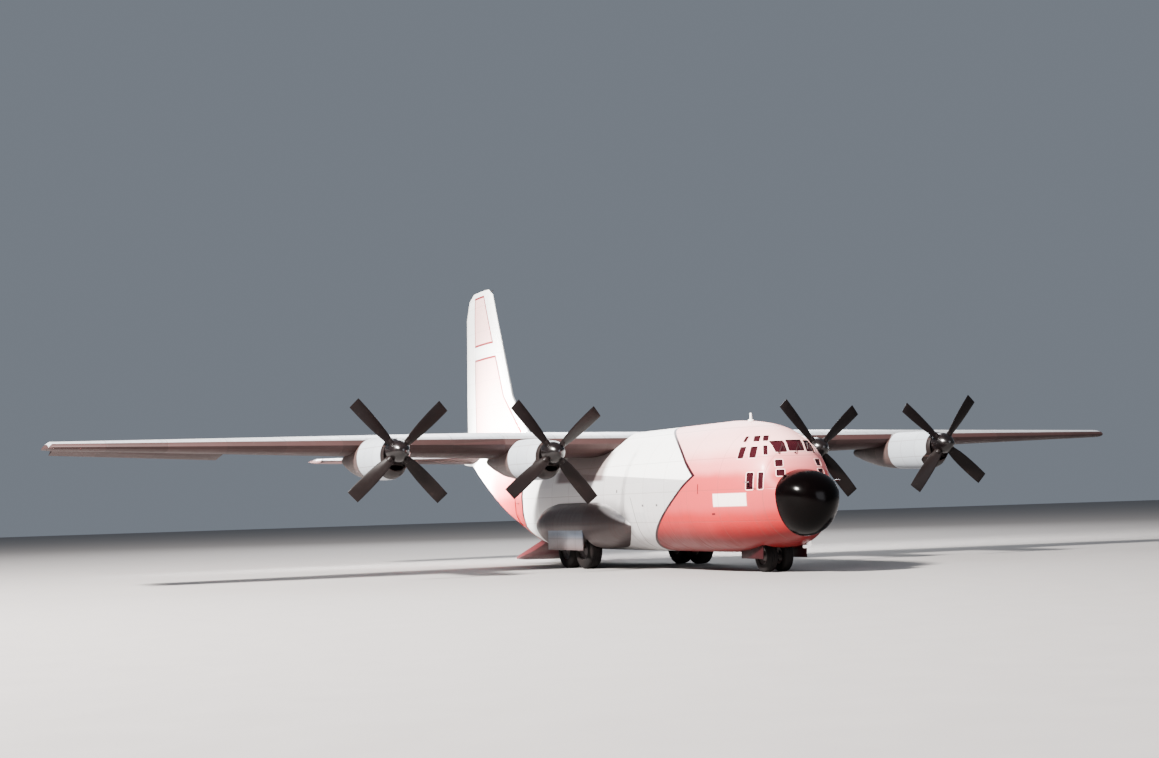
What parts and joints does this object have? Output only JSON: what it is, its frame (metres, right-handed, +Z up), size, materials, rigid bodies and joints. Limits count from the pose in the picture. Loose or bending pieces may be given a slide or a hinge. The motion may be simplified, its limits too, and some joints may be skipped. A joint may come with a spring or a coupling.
{
  "type": "half-scale model of a military transport plane",
  "caption": "High-wing transport aircraft on its wheels: hollow hull, flight deck, cargo hold, turning propellers, hinged flight controls, lowered ramp, raised cargo door.",
  "frame": {"origin": "on the ground, under the middle of the aircraft's overall box", "axes": "+X to the aircraft's left along the wing, +Y aft from nose to tail, +Z up"},
  "size_m": [20.205, 14.895, 5.83],
  "materials": {
    "radome": "gloss",
    "red_paint": "satin",
    "silver_paint": "satin",
    "bare_metal": "satin",
    "glazing": "gloss",
    "interior": "matte",
    "instrument_panel": "matte",
    "seat": "matte",
    "engine": "satin",
    "propeller": "satin",
    "gear_leg": "satin",
    "tyre": "matte"
  },
  "bodies": {
    "airframe": {"radome": "radome", "fuselage_nose": "red_paint", "cockpit_glazing": "glazing", "flight_deck": "interior", "instrument_panel": "instrument_panel", "crew_seats": "seat", "wing_center": "bare_metal", "wing_outer_port": "bare_metal", "wing_outer_starboard": "bare_metal", "fuselage_center": "silver_paint", "cargo_floor": "interior", "fuselage_aft": "red_paint", "paratroop_door_port": "red_paint", "paratroop_door_starboard": "red_paint", "tailplane_port": "bare_metal", "tailplane_starboard": "bare_metal", "fin": "silver_paint", "nacelle_1": "silver_paint", "engine_1": "engine", "nacelle_2": "silver_paint", "engine_2": "engine", "nacelle_3": "silver_paint", "engine_3": "engine", "nacelle_4": "silver_paint", "engine_4": "engine", "main_leg_port": "gear_leg", "main_leg_starboard": "gear_leg", "sponson_port": "silver_paint", "sponson_starboard": "silver_paint", "main_gear_door_port": "silver_paint", "main_gear_door_starboard": "silver_paint", "nose_leg": "gear_leg", "nose_gear_door_port": "red_paint", "nose_gear_door_starboard": "red_paint"},
    "propeller_1": {"propeller_1": "propeller"},
    "main_wheel_1": {"main_wheel_1": "tyre"},
    "propeller_2": {"propeller_2": "propeller"},
    "main_wheel_2": {"main_wheel_2": "tyre"},
    "propeller_3": {"propeller_3": "propeller"},
    "main_wheel_3": {"main_wheel_3": "tyre"},
    "propeller_4": {"propeller_4": "propeller"},
    "main_wheel_4": {"main_wheel_4": "tyre"},
    "flap_inner_port": {"flap_inner_port": "bare_metal"},
    "flap_inner_starboard": {"flap_inner_starboard": "bare_metal"},
    "flap_outer_port": {"flap_outer_port": "bare_metal"},
    "flap_outer_starboard": {"flap_outer_starboard": "bare_metal"},
    "aileron_port": {"aileron_port": "bare_metal"},
    "aileron_starboard": {"aileron_starboard": "bare_metal"},
    "elevator": {"elevator_port": "bare_metal", "elevator_starboard": "bare_metal"},
    "rudder": {"rudder": "silver_paint"},
    "ramp": {"ramp": "red_paint"},
    "cargo_door": {"cargo_door": "silver_paint"},
    "crew_door": {"crew_door": "red_paint"},
    "nose_steering": {"nose_steering": "gear_leg"},
    "nose_wheels": {"nose_wheel_port": "tyre", "nose_wheel_starboard": "tyre"}
  },
  "joints": [
    {"name": "propeller_1_spin", "type": "hinge", "parent": "airframe", "child": "propeller_1", "pos_m": [5.08, -3.2975, 2.015], "axis": [0, -1, 0], "continuous": true},
    {"name": "propeller_2_spin", "type": "hinge", "parent": "airframe", "child": "propeller_2", "pos_m": [2.47, -3.2975, 1.96], "axis": [0, -1, 0], "continuous": true},
    {"name": "propeller_3_spin", "type": "hinge", "parent": "airframe", "child": "propeller_3", "pos_m": [-2.47, -3.2975, 1.96], "axis": [0, -1, 0], "continuous": true},
    {"name": "propeller_4_spin", "type": "hinge", "parent": "airframe", "child": "propeller_4", "pos_m": [-5.08, -3.2975, 2.015], "axis": [0, -1, 0], "continuous": true},
    {"name": "main_wheel_1_roll", "type": "hinge", "parent": "airframe", "child": "main_wheel_1", "pos_m": [1.085, -1.4475, 0.35], "axis": [1, 0, 0], "continuous": true},
    {"name": "main_wheel_2_roll", "type": "hinge", "parent": "airframe", "child": "main_wheel_2", "pos_m": [1.085, -0.6875, 0.35], "axis": [1, 0, 0], "continuous": true},
    {"name": "main_wheel_3_roll", "type": "hinge", "parent": "airframe", "child": "main_wheel_3", "pos_m": [-1.085, -1.4475, 0.35], "axis": [1, 0, 0], "continuous": true},
    {"name": "main_wheel_4_roll", "type": "hinge", "parent": "airframe", "child": "main_wheel_4", "pos_m": [-1.085, -0.6875, 0.35], "axis": [1, 0, 0], "continuous": true},
    {"name": "nose_steering_turn", "type": "hinge", "parent": "airframe", "child": "nose_steering", "pos_m": [0, -5.9325, 0.245], "axis": [0, 0, 1], "range_deg": [-60, 60]},
    {"name": "nose_wheels_roll", "type": "hinge", "parent": "nose_steering", "child": "nose_wheels", "pos_m": [0, -5.9325, 0.245], "axis": [1, 0, 0], "continuous": true},
    {"name": "aileron_port_hinge", "type": "hinge", "parent": "airframe", "child": "aileron_port", "pos_m": [7.21, -0.59211, 2.18339], "axis": [0.9967, -0.0796, 0.0179], "range_deg": [-34, 6]},
    {"name": "aileron_starboard_hinge", "type": "hinge", "parent": "airframe", "child": "aileron_starboard", "pos_m": [-9.95, -0.81082, 2.2326], "axis": [0.9967, 0.0796, -0.0179], "range_deg": [-6, 34]},
    {"name": "flap_inner_port_hinge", "type": "hinge", "parent": "airframe", "child": "flap_inner_port", "pos_m": [1.115, -0.19108, 2.09029], "axis": [1, 0, 0.0054], "range_deg": [-36, 0]},
    {"name": "flap_inner_starboard_hinge", "type": "hinge", "parent": "airframe", "child": "flap_inner_starboard", "pos_m": [-2.775, -0.19108, 2.0992], "axis": [1, 0, -0.0054], "range_deg": [-36, 0]},
    {"name": "flap_outer_port_hinge", "type": "hinge", "parent": "airframe", "child": "flap_outer_port", "pos_m": [2.815, -0.19274, 2.09968], "axis": [0.9964, -0.0829, 0.0184], "range_deg": [-36, 0]},
    {"name": "flap_outer_starboard_hinge", "type": "hinge", "parent": "airframe", "child": "flap_outer_starboard", "pos_m": [-7.15, -0.55336, 2.17973], "axis": [0.9964, 0.0829, -0.0184], "range_deg": [-36, 0]},
    {"name": "elevator_hinge", "type": "hinge", "parent": "airframe", "child": "elevator", "pos_m": [0.54, 6.0525, 2.16], "axis": [1, 0, 0], "range_deg": [-15, 40]},
    {"name": "rudder_hinge", "type": "hinge", "parent": "airframe", "child": "rudder", "pos_m": [0, 6.7175, 2.48], "axis": [0, 0.014, 0.9999], "range_deg": [-35, 35]},
    {"name": "ramp_hinge", "type": "hinge", "parent": "airframe", "child": "ramp", "pos_m": [0, 1.2765, 0.5], "axis": [1, 0, 0], "range_deg": [0, 31.5]},
    {"name": "cargo_door_hinge", "type": "hinge", "parent": "airframe", "child": "cargo_door", "pos_m": [0, 4.9775, 1.925], "axis": [1, 0, 0], "range_deg": [0, 21.5]},
    {"name": "crew_door_hinge", "type": "hinge", "parent": "airframe", "child": "crew_door", "pos_m": [0.795, -5.7225, 0.4875], "axis": [0, 1, 0], "range_deg": [0, 98]}
  ],
  "couplings": [
    {"joint": "aileron_starboard_hinge", "follows": "aileron_port_hinge", "ratio": -1},
    {"joint": "flap_inner_starboard_hinge", "follows": "flap_inner_port_hinge", "ratio": 1},
    {"joint": "flap_outer_port_hinge", "follows": "flap_inner_port_hinge", "ratio": 1},
    {"joint": "flap_outer_starboard_hinge", "follows": "flap_inner_port_hinge", "ratio": 1}
  ]
}
